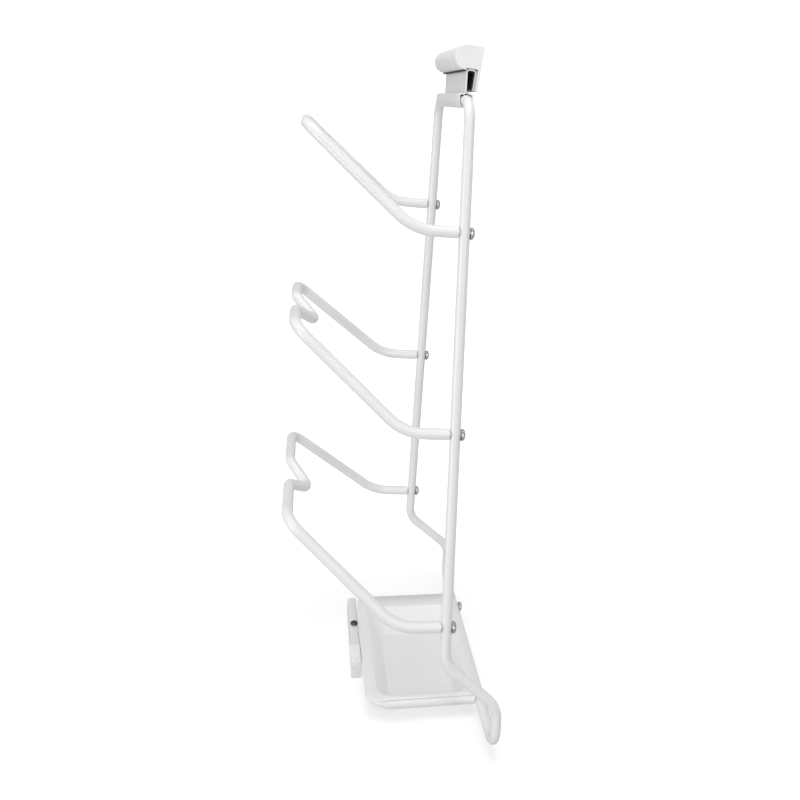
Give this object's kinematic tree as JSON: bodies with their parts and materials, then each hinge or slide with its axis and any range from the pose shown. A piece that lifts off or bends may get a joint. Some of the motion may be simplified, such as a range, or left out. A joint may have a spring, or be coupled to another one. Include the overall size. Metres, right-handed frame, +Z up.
{
  "type": "towel rack",
  "caption": "Hanging towel rack: tapered bent-tube frame with notched towel loops, a lift-out tray on a tube support, and a swivelling rubber-lined hook on the top bar.",
  "frame": {"origin": "middle of the hook's seat, the lined underside that bears on the rail's top edge", "axes": "+X along the bars, to the right for someone facing the rack; +Y towards the wall, so the loops point along -Y; +Z up along the frame"},
  "size_m": [0.3508, 0.2421, 0.7566],
  "materials": {
    "white_coat": "satin",
    "white_sheet": "satin",
    "white_tray": "satin",
    "white_plastic": "satin",
    "white_rubber": "matte",
    "black_rubber": "matte",
    "zinc": "polished",
    "black_steel": "gloss"
  },
  "bodies": {
    "hanger": {"hanger_strap": "white_sheet", "hook_cover": "white_plastic", "end_cap_left": "white_plastic", "end_cap_right": "white_plastic", "jaw_liner": "black_rubber", "nose_gasket": "black_rubber"},
    "rack": {"bracket_nut": "black_steel", "bracket_screw": "black_steel", "bracket_sleeve": "white_rubber", "front_bracket": "white_coat", "lower_left_insert": "zinc", "lower_left_screw": "zinc", "lower_right_insert": "zinc", "lower_right_screw": "zinc", "lower_towel_loop": "white_coat", "main_frame": "white_coat", "middle_left_insert": "zinc", "middle_left_screw": "zinc", "middle_right_insert": "zinc", "middle_right_screw": "zinc", "middle_towel_loop": "white_coat", "tray_support": "white_coat", "tray_support_left_insert": "zinc", "tray_support_left_screw": "zinc", "tray_support_right_insert": "zinc", "tray_support_right_screw": "zinc", "upper_left_insert": "zinc", "upper_left_screw": "zinc", "upper_right_insert": "zinc", "upper_right_screw": "zinc", "upper_towel_loop": "white_coat"},
    "tray": {"tray": "white_tray"}
  },
  "joints": [
    {"name": "hanger_swivel", "type": "hinge", "parent": "hanger", "child": "rack", "pos_m": [0, -0.00653, -0.02878], "axis": [1, 0, 0], "range_deg": [-60, 5]},
    {"name": "tray_lift", "type": "slide", "parent": "rack", "child": "tray", "axis": [0, 0, 1], "range_m": [0, 0.08]}
  ]
}
